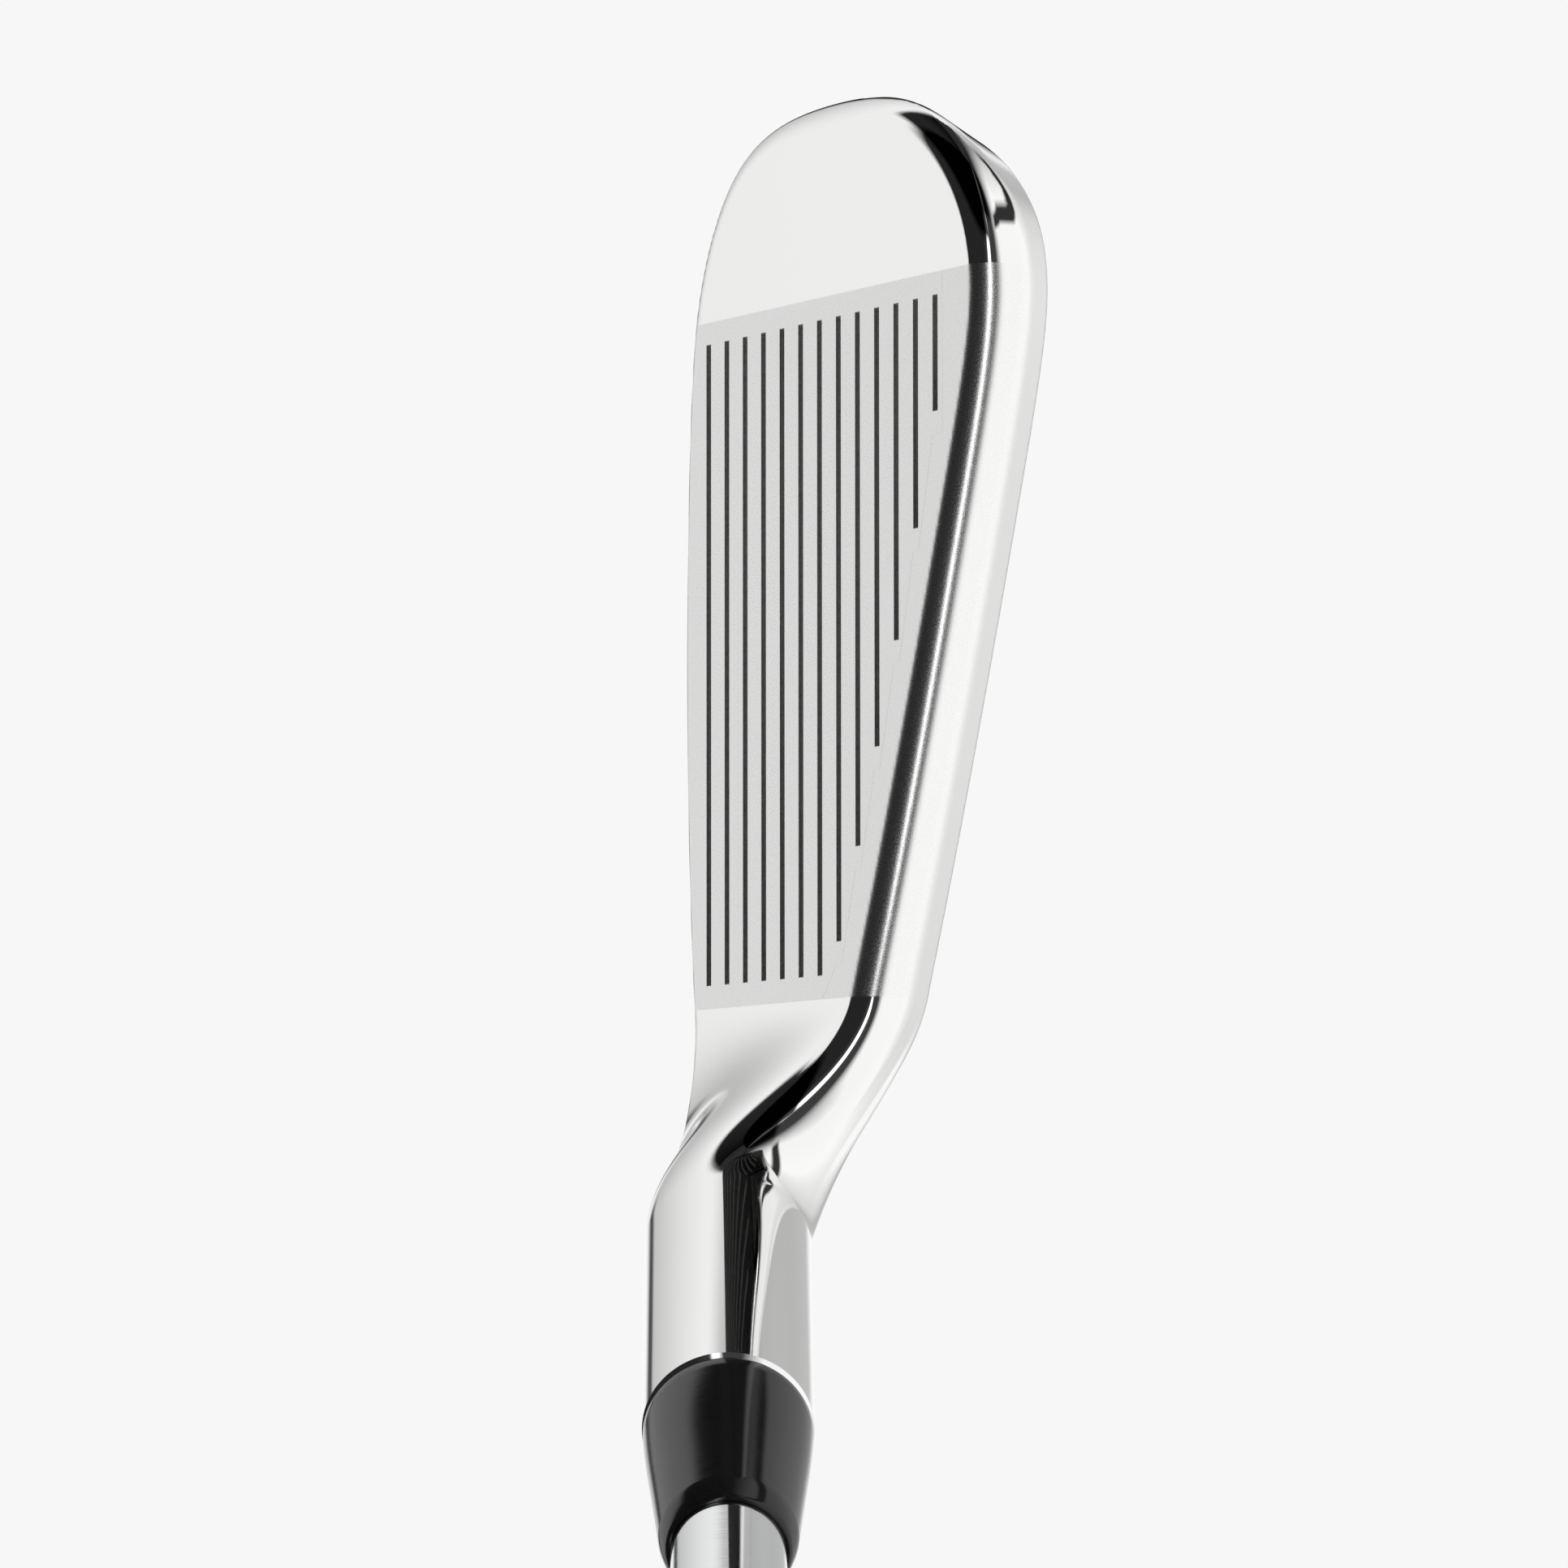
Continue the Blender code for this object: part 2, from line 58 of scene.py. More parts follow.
def throughPoints(xs, ys):
    # natural cubic spline, running on straight past its ends
    xs, ys = np.array(xs, float), np.array(ys, float)
    n, gap = len(xs), np.diff(xs)
    a, b = np.eye(n), np.zeros(n)
    for i in range(1, n - 1):
        a[i, i - 1:i + 2] = gap[i - 1], 2 * (gap[i - 1] + gap[i]), gap[i]
        b[i] = 6 * ((ys[i + 1] - ys[i]) / gap[i] - (ys[i] - ys[i - 1]) / gap[i - 1])
    bend = np.linalg.solve(a, b)

    def value(x):
        i = np.clip(np.searchsorted(xs, x) - 1, 0, n - 2)
        h = gap[i]
        left, right = xs[i + 1] - x, x - xs[i]
        inside = (
            (bend[i] * left ** 3 + bend[i + 1] * right ** 3) / (6 * h)
            + (ys[i] / h - bend[i] * h / 6) * left + (ys[i + 1] / h - bend[i + 1] * h / 6) * right
        )
        slopeLow = (ys[1] - ys[0]) / gap[0] - bend[1] * gap[0] / 6
        slopeHigh = (ys[-1] - ys[-2]) / gap[-1] + bend[-2] * gap[-1] / 6
        inside = np.where(x < xs[0], ys[0] + slopeLow * (x - xs[0]), inside)
        return np.where(x > xs[-1], ys[-1] + slopeHigh * (x - xs[-1]), inside)

    return value


def closedCurve(points, steps):
    # periodic cubic spline through the points, evenly stepped between them
    p = np.array(points, float)
    n = len(p)
    gap = np.linalg.norm(np.roll(p, -1, 0) - p, axis=1) ** 0.5
    a, b = np.zeros((n, n)), np.zeros((n, 2))
    for i in range(n):
        before, after = gap[i - 1], gap[i]
        a[i, i - 1] += before
        a[i, i] += 2 * (before + after)
        a[i, (i + 1) % n] += after
        b[i] = 6 * ((p[(i + 1) % n] - p[i]) / after - (p[i] - p[i - 1]) / before)
    bend = np.linalg.solve(a, b)
    out = []
    for i in range(n):
        j, h = (i + 1) % n, gap[i]
        for step in range(steps):
            right = h * step / steps
            left = h - right
            out.append(
                (bend[i] * left ** 3 + bend[j] * right ** 3) / (6 * h)
                + (p[i] / h - bend[i] * h / 6) * left + (p[j] / h - bend[j] * h / 6) * right
            )
    return np.array(out)


def outlineDistance(loop, low, high, step):
    # signed distance to a closed outline, negative inside, kept on a fine grid and read with cubic weights
    size = [int(round((high[k] - low[k]) / step)) + 1 for k in (0, 1)]
    xs, ys = (low[k] + step * np.arange(size[k]) for k in (0, 1))
    grid = np.stack(np.meshgrid(xs, ys, indexing="ij"), -1).reshape(-1, 2)
    ends = np.roll(loop, -1, 0)
    best = np.full(len(grid), 1e9)
    crossings = np.zeros(len(grid), bool)
    for start, end in zip(loop, ends):
        along, w = end - start, grid - start
        t = np.clip((w @ along) / (along @ along), 0, 1)
        best = np.minimum(best, ((w - t[:, None] * along) ** 2).sum(1))
        if start[1] != end[1]:
            spans = (start[1] > grid[:, 1]) != (end[1] > grid[:, 1])
            crossings ^= spans & (grid[:, 0] < start[0] + along[0] * (grid[:, 1] - start[1]) / along[1])
    values = (np.sqrt(best) * np.where(crossings, -1, 1)).reshape(size)

    def read(x, y):
        cells, weights = [], []
        for g, count in (((x - low[0]) / step, size[0]), ((y - low[1]) / step, size[1])):
            cell = np.clip(np.floor(g).astype(int), 1, count - 3)
            t = np.clip(g - cell, -1, 2)
            cells.append(cell)
            weights.append((
                (1 - t) ** 3 / 6, (3 * t ** 3 - 6 * t ** 2 + 4) / 6, (-3 * t ** 3 + 3 * t ** 2 + 3 * t + 1) / 6, t ** 3 / 6,
            ))
        out = 0.0
        for a in range(4):
            for b in range(4):
                out = out + weights[0][a] * weights[1][b] * values[cells[0] + a - 1, cells[1] + b - 1]
        return out

    return read


def roundMax(a, b, r):
    # intersection with a round edge of radius r
    return np.minimum(np.maximum(a, b), -r) + np.hypot(np.maximum(a + r, 0), np.maximum(b + r, 0))


def blend(a, b, width):
    # union with a soft fillet
    h = np.clip(0.5 + 0.5 * (b - a) / width, 0, 1)
    return b + (a - b) * h - width * h * (1 - h)


def surfaceNet(field, axes):
    # one vertex per cell that the zero surface crosses, one quad per crossed grid edge
    inside = field < 0
    nx, ny, nz = field.shape
    corners = [(i, j, k) for i in (0, 1) for j in (0, 1) for k in (0, 1)]
    count = np.zeros((nx - 1, ny - 1, nz - 1), np.int8)
    for i, j, k in corners:
        count += inside[i:nx - 1 + i, j:ny - 1 + j, k:nz - 1 + k]
    cells = np.argwhere((count > 0) & (count < 8))
    index = np.full(count.shape, -1, np.int64)
    index[tuple(cells.T)] = np.arange(len(cells))
    total, hits = np.zeros((len(cells), 3)), np.zeros(len(cells))
    for first in corners:
        for axis in range(3):
            if first[axis]:
                continue
            second = list(first)
            second[axis] = 1
            a = field[tuple((cells + first).T)]
            b = field[tuple((cells + second).T)]
            cut = (a < 0) != (b < 0)
            t = np.where(cut, a / np.where(cut, a - b, 1), 0)
            point = np.array(first, float) + np.zeros((len(cells), 3))
            point[:, axis] += t
            total += point * cut[:, None]
            hits += cut
    local = cells + total / hits[:, None]
    verts = np.stack([np.interp(local[:, k], np.arange(len(axes[k])), axes[k]) for k in range(3)], 1)
    faces = []
    for axis in range(3):
        u, v = (axis + 1) % 3, (axis + 2) % 3
        low = [slice(None)] * 3
        high = [slice(None)] * 3
        low[axis], high[axis] = slice(0, -1), slice(1, None)
        a, b = inside[tuple(low)], inside[tuple(high)]
        edges = np.argwhere(a != b)
        edges = edges[(edges[:, u] > 0) & (edges[:, v] > 0)]
        edges = edges[(edges[:, u] < field.shape[u] - 1) & (edges[:, v] < field.shape[v] - 1)]
        quad = []
        for du, dv in ((1, 1), (0, 1), (0, 0), (1, 0)):
            c = edges.copy()
            c[:, u] -= du
            c[:, v] -= dv
            quad.append(index[tuple(c.T)])
        quad = np.stack(quad, 1)
        flip = a[tuple(edges.T)]
        quad[flip] = quad[flip][:, ::-1]
        faces.append(quad)
    return verts, np.concatenate(faces)


# ---- the forged head

head = {
    "outline": [  # x towards the heel, height up the face from the ground
        (0, 0.9), (-14, 1.2), (-23, 1.8), (-31, 3.3), (-37.5, 6.4), (-42.3, 11.2), (-44.8, 17.5), (-45.6, 25.5),
        (-45.4, 34.5), (-44.0, 42.2), (-41.2, 48.2), (-37.6, 52.7), (-33.2, 55.8), (-28.3, 57.1), (-22.5, 56.4),
        (-12, 52.8), (3.5, 46.8), (20.9, 39.6), (30.4, 35.4), (37.5, 32.0), (43.5, 26.5), (46.4, 18.0),
        (45.2, 10.5), (40.5, 5.4), (34, 3.2), (27, 2.1), (14, 1.2),
    ],
    "frontRound": 2.25,
    "thick": 7.0,
    "bevelStart": 4.35,       # depth where the top line's flat ends
    "bevelLean": 0.56,        # how far the bevel leans in for each millimetre of depth
    "hoselRadius": 6.85,
    "hoselTop": 67.9,         # along the shaft axis from the ground
    "neckFrom": 29.3,
    "satinFrom": -29.2,
    "satinTo": 29.3,
    "gridStep": 0.42,
}
headBack = throughPoints([-4, 6, 13, 17, 20, 23, 26, 29, 32, 36], [26, 22, 18.6, 15.8, 13.1, 10.6, 8.8, 7.6, 7.05, 7.0])
trailingEdge = throughPoints(
    [-50, -46, -42, -37, -31, -23, -13, -3, 8, 18, 28, 37, 48],
    [-4.0, 1.8, 7.6, 11.0, 13.1, 14.1, 14.3, 13.9, 12.9, 11.2, 8.8, 5.8, 1.4],
)
print("head outline")
outlineAt = outlineDistance(closedCurve(head["outline"], 24), (-56, -12), (62, 74), 0.5)


def headDistance(x, h, p, outline):
    # x, height up the face and depth behind it, with the distance to the outline already read
    y = club["faceFoot"][1] + h * faceUp[1] + p * faceBack[1]
    z = h * faceUp[2] + p * faceBack[2]
    lean = head["bevelLean"]
    toe = np.clip((x + 45) / 14, 0, 1)
    start = head["bevelStart"] - 2.4 * (1 - toe) ** 2 * (1 + 2 * toe)     # the bevel widens round the toe
    bevel = (outline + lean * (p - start)) / math.hypot(1, lean)
    blade = roundMax(outline, -p, head["frontRound"])
    blade = roundMax(blade, bevel, 0.3)
    blade = roundMax(blade, p - head["thick"], 0.4)
    muscle = roundMax((p - headBack(h)) * 0.8, y - trailingEdge(x), 3.0)
    muscle = roundMax(muscle, outline + 0.7, 1.6)
    muscle = np.maximum(muscle, 3.4 - p)
    body = blend(blade, muscle, 1.2)
    # shallow bed that the scored panel covers
    low, high = scoreHeight(0) - scoredFace["margin"] + 0.8, scoreHeight(scoredFace["count"] - 1) + scoredFace["margin"] - 1
    bed = np.maximum(np.maximum(scoredFace["toeEnd"] - 0.3 - x, x - panelEdge(h) + 1.6), np.maximum(low - h, h - high))
    body = np.maximum(body, -np.maximum(bed, p - 0.8))
    sole = x ** 2 / 520 + 0.09 * np.maximum(-4 - y, 0) ** 2 + 0.022 * np.maximum(y - 4, 0) ** 2 - z
    return roundMax(body, sole * 0.98, 1.6)


def headAt(points):
    x, h, p = points[:, 0], points[:, 1], points[:, 2]
    return headDistance(x, h, p, outlineAt(x, h))


def headSlope(points, reach=0.04):
    out = np.zeros_like(points)
    for k in range(3):
        step = np.zeros(3)
        step[k] = reach
        out[:, k] = (headAt(points + step) - headAt(points - step)) / (2 * reach)
    return out


def toWorld(points):
    return club["faceFoot"] + points[:, :1] * [1, 0, 0] + points[:, 1:2] * faceUp + points[:, 2:3] * faceBack


def meshFrom(name, verts, faces, normals=None, material=None):
    mesh = bpy.data.meshes.new(name)
    mesh.from_pydata((verts * mm).tolist(), [], faces.tolist() if hasattr(faces, "tolist") else faces)
    mesh.shade_smooth()
    if normals is not None:
        mesh.normals_split_custom_set_from_vertices(normals.tolist())
    obj = bpy.data.objects.new(name, mesh)
    bpy.context.scene.collection.objects.link(obj)
    if material:
        mesh.materials.append(material)
    return obj


def turnToWorld(v):
    return v[..., :1] * np.array([1.0, 0, 0]) + v[..., 1:2] * faceUp + v[..., 2:3] * faceBack


def makeHead(material):
    # blade from the toe to the line where the neck starts; gives the mesh and the section at that line
    step = head["gridStep"]
    xs = np.arange(-47.1, head["neckFrom"] + 1.3, step)
    hs = np.arange(-3.1, 59.5, step)
    ps = np.arange(-1.3, 22.0, step)
    outline = outlineAt(xs[:, None], hs[None, :])
    field = np.empty((len(xs), len(hs), len(ps)), np.float32)
    for i, x in enumerate(xs):
        field[i] = headDistance(x, hs[:, None], ps[None, :], outline[i][:, None])
    verts, faces = surfaceNet(field, (xs, hs, ps))
    for _ in range(4):
        slope = headSlope(verts)
        verts = verts - slope * (headAt(verts) / np.maximum((slope ** 2).sum(1), 0.05))[:, None]
    work = bmesh.new()
    made = [work.verts.new(v) for v in verts]
    for face in faces.tolist():
        work.faces.new([made[i] for i in face])
    bmesh.ops.bisect_plane(work, geom=work.verts[:] + work.edges[:] + work.faces[:], plane_co=(head["neckFrom"], 0, 0),
                           plane_no=(1, 0, 0), clear_outer=True)
    work.verts.index_update()
    verts = np.array([v.co[:] for v in work.verts])
    faces = [[v.index for v in face.verts] for face in work.faces]
    rim = {}
    for edge in work.edges:
        if edge.is_boundary and min(v.co.x for v in edge.verts) > head["neckFrom"] - 0.01:
            for a, b in (edge.verts, reversed(edge.verts)):
                rim.setdefault(a.index, []).append(b.index)
    loop = [next(iter(rim))]
    while len(loop) < len(rim):
        ahead = [k for k in rim[loop[-1]] if len(loop) < 2 or k != loop[-2]]
        if ahead[0] == loop[0]:
            break
        loop.append(ahead[0])
    section = verts[loop]
    work.free()
    slope = headSlope(verts)
    normals = turnToWorld(slope / np.linalg.norm(slope, axis=1)[:, None])
    obj = meshFrom("forgedBlade", toWorld(verts), faces, normals, material)
    print("forged blade:", len(verts), "points,", len(section), "round the neck line")
    return obj, section


neck = {
    "columns": 288,
    "rows": 84,
    "joinsAt": 35.6,          # along the shaft axis, where the neck is a plain tube
    # landmarks of the blade's section: (height up the face, depth), and the side of the tube each runs to
    "landmarks": [(2.4, 0.6), (31.0, 0.0), (35.6, 2.6), (33.6, 6.6), (20.0, 12.0), (4.0, 17.0)],
    "sides": [206, 118, 62, 12, -32, -82],
    "leave": [0.38, 0.32, 0.40, 0.25, 0.26, 0.36],
    "arrive": [0.40, 0.48, 0.32, 0.32, 0.40, 0.40],
    "fall": [0.0, 0.55, 0.45, 0.2, 0.0, 0.0],      # how much each line drops as it leaves the blade
    "chamfer": 0.5,
    "bore": 4.95,
}


def roundTrip(values, drop=0.0):
    # a list of values at the landmarks, run on past both ends so that it closes smoothly
    return [v + drop for v in values[-2:]] + list(values) + [v - drop for v in values[:2]]


def makeNeck(section, material):
    n = neck["columns"]
    # order: up the face, over the top, down the back
    mid = section[:, 1:].mean(0)
    angle = np.unwrap(np.arctan2(section[:, 1] - mid[0], section[:, 2] - mid[1]))
    if angle[-1] > angle[0]:
        section = section[::-1]
    gaps = np.linalg.norm(np.roll(section, -1, 0) - section, axis=1)
    start = int(np.argmin(np.hypot(*(section[:, 1:] - neck["landmarks"][0]).T)))
    section, gaps = np.roll(section, -start, 0), np.roll(gaps, -start)
    arc = np.concatenate([[0], np.cumsum(gaps)])
    total = arc[-1]
    closed = np.concatenate([section, section[:1]])
    marks = [arc[int(np.argmin(np.hypot(*(section[:, 1:] - m).T)))] for m in neck["landmarks"]]
    if marks[1] > total / 2:
        raise ValueError("neck section runs the wrong way")
    positions = [m - total for m in marks[-2:]] + marks + [m + total for m in marks[:2]]
    where = total * np.arange(n) / n
    base = np.stack([np.interp(where, arc, closed[:, k]) for k in range(3)], 1)
    side = np.radians(throughPoints(positions, roundTrip(neck["sides"], 360.0))(where))
    leave = throughPoints(positions, roundTrip(neck["leave"]))(where)
    arrive = throughPoints(positions, roundTrip(neck["arrive"]))(where)
    for _ in range(4):
        slope = headSlope(base)
        slope[:, 0] = 0
        base = base - slope * (headAt(base) / (slope ** 2).sum(1))[:, None]
    slope = headSlope(base)
    normal = slope / np.linalg.norm(slope, axis=1)[:, None]
    first = toWorld(base)
    out = np.cos(side)[:, None] * np.array([0, 1.0, 0]) + np.sin(side)[:, None] * shaftAcross
    last = club["shaftFoot"] + neck["joinsAt"] * shaftAxis + head["hoselRadius"] * out
    reach = np.linalg.norm(last - first, axis=1)[:, None]
    # each line leaves within the blade's own surface
    fall = throughPoints(positions, roundTrip(neck["fall"]))(where)
    along = np.stack([np.ones(n), -fall, np.zeros(n)], 1)
    along -= (along * normal).sum(1)[:, None] * normal
    along = turnToWorld(along / np.linalg.norm(along, axis=1)[:, None])
    c1 = first + along * reach * leave[:, None]
    c2 = last - shaftAxis * reach * arrive[:, None]
    us = np.linspace(0, 1, neck["rows"])[:, None, None]
    rows = (1 - us) ** 3 * first + 3 * us * (1 - us) ** 2 * c1 + 3 * us ** 2 * (1 - us) * c2 + us ** 3 * last
    du = 3 * (1 - us) ** 2 * (c1 - first) + 6 * us * (1 - us) * (c2 - c1) + 3 * us ** 2 * (last - c2)
    normals = np.cross(np.roll(rows, -1, 1) - np.roll(rows, 1, 1), du)
    normals /= np.linalg.norm(normals, axis=2)[:, :, None]
    if (normals[-1] * out).sum() < 0:
        normals = -normals
    # the tube, its chamfered rim and the bore, each corner with two sets of normals
    r, top, c = head["hoselRadius"], head["hoselTop"], neck["chamfer"]
    slant = math.sqrt(0.5)
    ends = [(r, neck["joinsAt"], 1, 0), (r, top - c, 1, 0), (r, top - c, slant, slant), (r - c, top, slant, slant),
            (r - c, top, 0, 1), (neck["bore"], top, 0, 1), (neck["bore"], top, -1, 0), (neck["bore"], neck["joinsAt"], -1, 0)]
    tube = [club["shaftFoot"] + t * shaftAxis + radius * out for radius, t, _, _ in ends]
    tubeNormals = [a * out + b * shaftAxis for _, _, a, b in ends]
    grid = np.concatenate([rows, np.array(tube)])
    normals = np.concatenate([normals, np.array(tubeNormals)])
    count = len(grid)
    skip = {len(rows) + k for k in (-1, 1, 3, 5)}
    faces = []
    for r0 in range(count - 1):
        if r0 in skip:
            continue
        for i in range(n):
            j = (i + 1) % n
            faces.append((r0 * n + i, r0 * n + j, (r0 + 1) * n + j, (r0 + 1) * n + i))
    probe = np.cross(grid[1, 0] - grid[0, 0], grid[0, 1] - grid[0, 0]) @ normals[0, 0]
    if probe > 0:
        faces = [f[::-1] for f in faces]
    obj = meshFrom("forgedNeck", grid.reshape(-1, 3), faces, normals.reshape(-1, 3), material)
    print("neck:", grid.shape[0] * grid.shape[1], "points")
    return obj


# ---- scored face

scoredFace = {
    "count": 13,
    "pitch": 3.5,
    "first": 7.0,            # height up the face of the lowest line
    "halfWidth": 0.45,
    "depth": 0.5,
    "toeEnd": -27.3,
    "heelEnds": [27.3] * 7 + [24.6, 16.9, 8.9, 0.4, -8.5, -17.8],
    "proud": 0.004,          # the panel lies this far in front of the head's own face
    "margin": 1.25,
    "sideMargin": 1.9,
}


def scoreHeight(line):
    return scoredFace["first"] + line * scoredFace["pitch"]


def panelEdge(height):
    # heel side of the panel, which steps back with the shorter lines
    levels, ends = [], []
    for line, end in enumerate(scoredFace["heelEnds"]):
        levels += [scoreHeight(line) - scoredFace["halfWidth"], scoreHeight(line) + scoredFace["halfWidth"]]
        ends += [end + scoredFace["sideMargin"]] * 2
    return np.interp(height, levels, ends)


def makeScoredFace(landMaterial, lineMaterial):
    s = scoredFace
    profile = [  # across one line: distance from its middle, depth
        (-1.0, 0.0), (-0.9, 0.07), (-0.72, 0.62), (-0.5, 0.94), (0.0, 1.0), (0.5, 0.94), (0.72, 0.62), (0.9, 0.07), (1.0, 0.0),
    ]
    verts, faces, slots = [], [], []
    toe, margin, side = s["toeEnd"], s["margin"], s["sideMargin"]

    def row(height, toeCut, heelCut, depth, heelEdge):
        # one line of points across the face, sunk between its two cuts
        first = len(verts)
        for x, d in ((toe - side, 0), (toeCut, 0 if depth == 0 else depth), (heelCut, depth), (heelEdge, 0)):
            verts.append((x, height, d * s["depth"] - s["proud"]))
        return first

    previous = None
    for line in range(s["count"]):
        heel = s["heelEnds"][line]
        edge = heel + side
        middle = scoreHeight(line)
        if line == 0:
            previous = row(middle - margin - 0.2, toe, heel, 0, edge)
        for i, (offset, depth) in enumerate(profile):
            y = middle + offset * s["halfWidth"]
            current = row(y, toe, heel, 0, edge)
            if i == 0:
                for k in range(3):
                    faces.append((previous + k, previous + k + 1, current + k + 1, current + k))
                    slots.append(0)
            else:
                for k in (0, 2):
                    faces.append((previous + k, previous + k + 1, current + k + 1, current + k))
                    slots.append(0)
            previous = current
        # the channel itself, with short sloping ends
        rings = []
        for offset, depth in profile:
            y = middle + offset * s["halfWidth"]
            first = len(verts)
            slope = 0.45 * depth
            for x, d in ((toe, 0), (toe + slope, depth), (heel - slope, depth), (heel, 0)):
                verts.append((x, y, d * s["depth"] - s["proud"]))
            rings.append(first)
        for a, b in zip(rings, rings[1:]):
            for k in range(3):
                faces.append((a + k, a + k + 1, b + k + 1, b + k))
                slots.append(1)
    top = row(scoreHeight(s["count"] - 1) + margin, toe, s["heelEnds"][-1], 0, s["heelEnds"][-1] + side)
    for k in range(3):
        faces.append((previous + k, previous + k + 1, top + k + 1, top + k))
        slots.append(0)
    obj = meshFrom("scoredFace", toWorld(np.array(verts)), faces)
    obj.data.materials.append(landMaterial)
    obj.data.materials.append(lineMaterial)
    for polygon, slotIndex in zip(obj.data.polygons, slots):
        polygon.material_index = slotIndex
        polygon.use_smooth = slotIndex == 1
    return obj


# ---- turned pieces on the shaft

def onShaft(obj):
    obj.matrix_world = Matrix.Translation(Vector(club["shaftFoot"]) * mm) @ Matrix.Rotation(math.pi / 2 - club["lie"], 4, "Y")
    return obj


def turnPiece(name, profile, material, segments=96, closed=True, creaseDegrees=35):
    # profile of (radius, height) pairs, listed from the top of the outside down, then back up the inside
    verts, faces = [], []
    for radius, height in profile:
        for i in range(segments):
            a = 2 * math.pi * i / segments
            verts.append((radius * math.cos(a), radius * math.sin(a), height))
    rows = len(profile)
    for r in range(rows if closed else rows - 1):
        for i in range(segments):
            j = (i + 1) % segments
            a, b = r * segments, ((r + 1) % rows) * segments
            faces.append((a + i, b + i, b + j, a + j))
    obj = meshFrom(name, np.array(verts), faces, None, material)
    obj.data.set_sharp_from_angle(angle=math.radians(creaseDegrees))
    return onShaft(obj)


def rounded(profile, radius, steps=4):
    # the same profile with each corner turned on a small radius
    out = []
    n = len(profile)
    for i, point in enumerate(profile):
        here = np.array(point, float)
        before, after = np.array(profile[i - 1], float) - here, np.array(profile[(i + 1) % n], float) - here
        reach = min(radius, 0.45 * np.linalg.norm(before), 0.45 * np.linalg.norm(after))
        start = here + before / np.linalg.norm(before) * reach
        end = here + after / np.linalg.norm(after) * reach
        for step in range(steps + 1):
            t = step / steps
            out.append(tuple((1 - t) ** 2 * start + 2 * t * (1 - t) * here + t ** 2 * end))
    return out


ferrule = {"top": 87.9, "bottom": 68.0, "bore": 4.56, "lip": 5.48, "foot": 6.8}
shaft = {"tip": 36.3, "butt": 935.6, "tipRadius": 4.525, "buttRadius": 7.62, "steps": 13, "firstStep": 175.0, "pitch": 30.0, "wall": 0.5}
band = {"low": 585.3, "high": 647.0, "skin": 0.16}
grip = {"mouth": 673.0, "end": 935.7, "bore": 7.7}


def makeFerrule(material):
    f = ferrule
    outside = [(f["bore"], f["top"]), (4.72, f["top"]), (4.86, f["top"] - 0.1), (5.0, f["top"] - 0.42), (5.2, f["top"] - 1.05),
               (5.36, f["top"] - 1.7), (f["lip"], f["top"] - 2.3)]
    taper = throughPoints([f["bottom"], f["bottom"] + 2, f["bottom"] + 10, f["top"] - 2.3], [f["foot"], 6.7, 6.09, f["lip"]])
    outside += [(float(taper(h)), float(h)) for h in np.linspace(f["top"] - 2.5, f["bottom"] + 0.4, 20)]
    outside += [(f["foot"] - 0.12, f["bottom"]), (f["bore"], f["bottom"])]
    return turnPiece("ferruleRing", outside, material, 128)


def makeShaft(material):
    s = shaft
    grow = (s["buttRadius"] - s["tipRadius"]) / s["steps"]
    outside = [(s["tipRadius"] - 0.4, s["tip"]), (s["tipRadius"], s["tip"] + 0.4)]
    for step in range(s["steps"]):
        h = s["tip"] + s["firstStep"] + step * s["pitch"]
        r = s["tipRadius"] + step * grow
        for k in range(7):
            t = k / 6
            outside.append((r + grow * (3 * t * t - 2 * t ** 3), h + 1.6 * t))
    outside.append((s["buttRadius"], s["butt"]))
    inside = [(s["buttRadius"] - s["wall"], s["butt"]), (s["tipRadius"] - s["wall"], s["tip"])]
    return turnPiece("steppedShaft", outside[::-1] + inside[::-1], material, 96)


def makeBand(material):
    r = shaft["buttRadius"]
    loop = [(r + band["skin"], band["high"]), (r + band["skin"], band["low"]), (r + 0.02, band["low"]), (r + 0.02, band["high"])]
    return turnPiece("shaftBand", rounded(loop, 0.06, 2), material, 96)


def makeGrip(material):
    g = grip
    shape = throughPoints([g["mouth"], g["mouth"] + 50, g["mouth"] + 110, g["mouth"] + 175, g["end"] - 45, g["end"]],
                          [9.7, 10.0, 10.7, 11.4, 12.3, 13.2])
    outside = [(g["bore"], g["end"]), (13.0, g["end"]), (13.2, g["end"] - 0.3)]
    outside += [(float(shape(h)), float(h)) for h in np.linspace(g["end"] - 1, g["mouth"] + 15, 120)]
    outside += [(9.75, g["mouth"] + 14.2), (10.15, g["mouth"] + 13.2), (10.3, g["mouth"] + 12), (10.3, g["mouth"] + 9)]
    outside += [(10.1, g["mouth"] + 8.2), (9.9, g["mouth"] + 7.8), (9.9, g["mouth"] + 6.6), (10.1, g["mouth"] + 6.2), (10.2, g["mouth"] + 5)]
    outside += [(10.2, g["mouth"] + 1.6), (9.9, g["mouth"] + 0.6), (9.3, g["mouth"]), (g["bore"], g["mouth"])]
    return turnPiece("grip", outside, material, 128)


def makeGripCap(material):
    top = 940.0
    loop = [
        (1.2, top - 0.3), (1.5, top), (4.6, top), (4.8, top - 0.25), (5.3, top - 0.25), (5.5, top), (11.2, top), (12.6, top - 0.45),
        (13.4, top - 1.4), (13.6, top - 2.6), (13.45, top - 3.8), (13.2, top - 4.0), (1.2, top - 4.0),
    ]
    return turnPiece("gripCap", loop, material, 96)


# ---- badge in the back of the blade

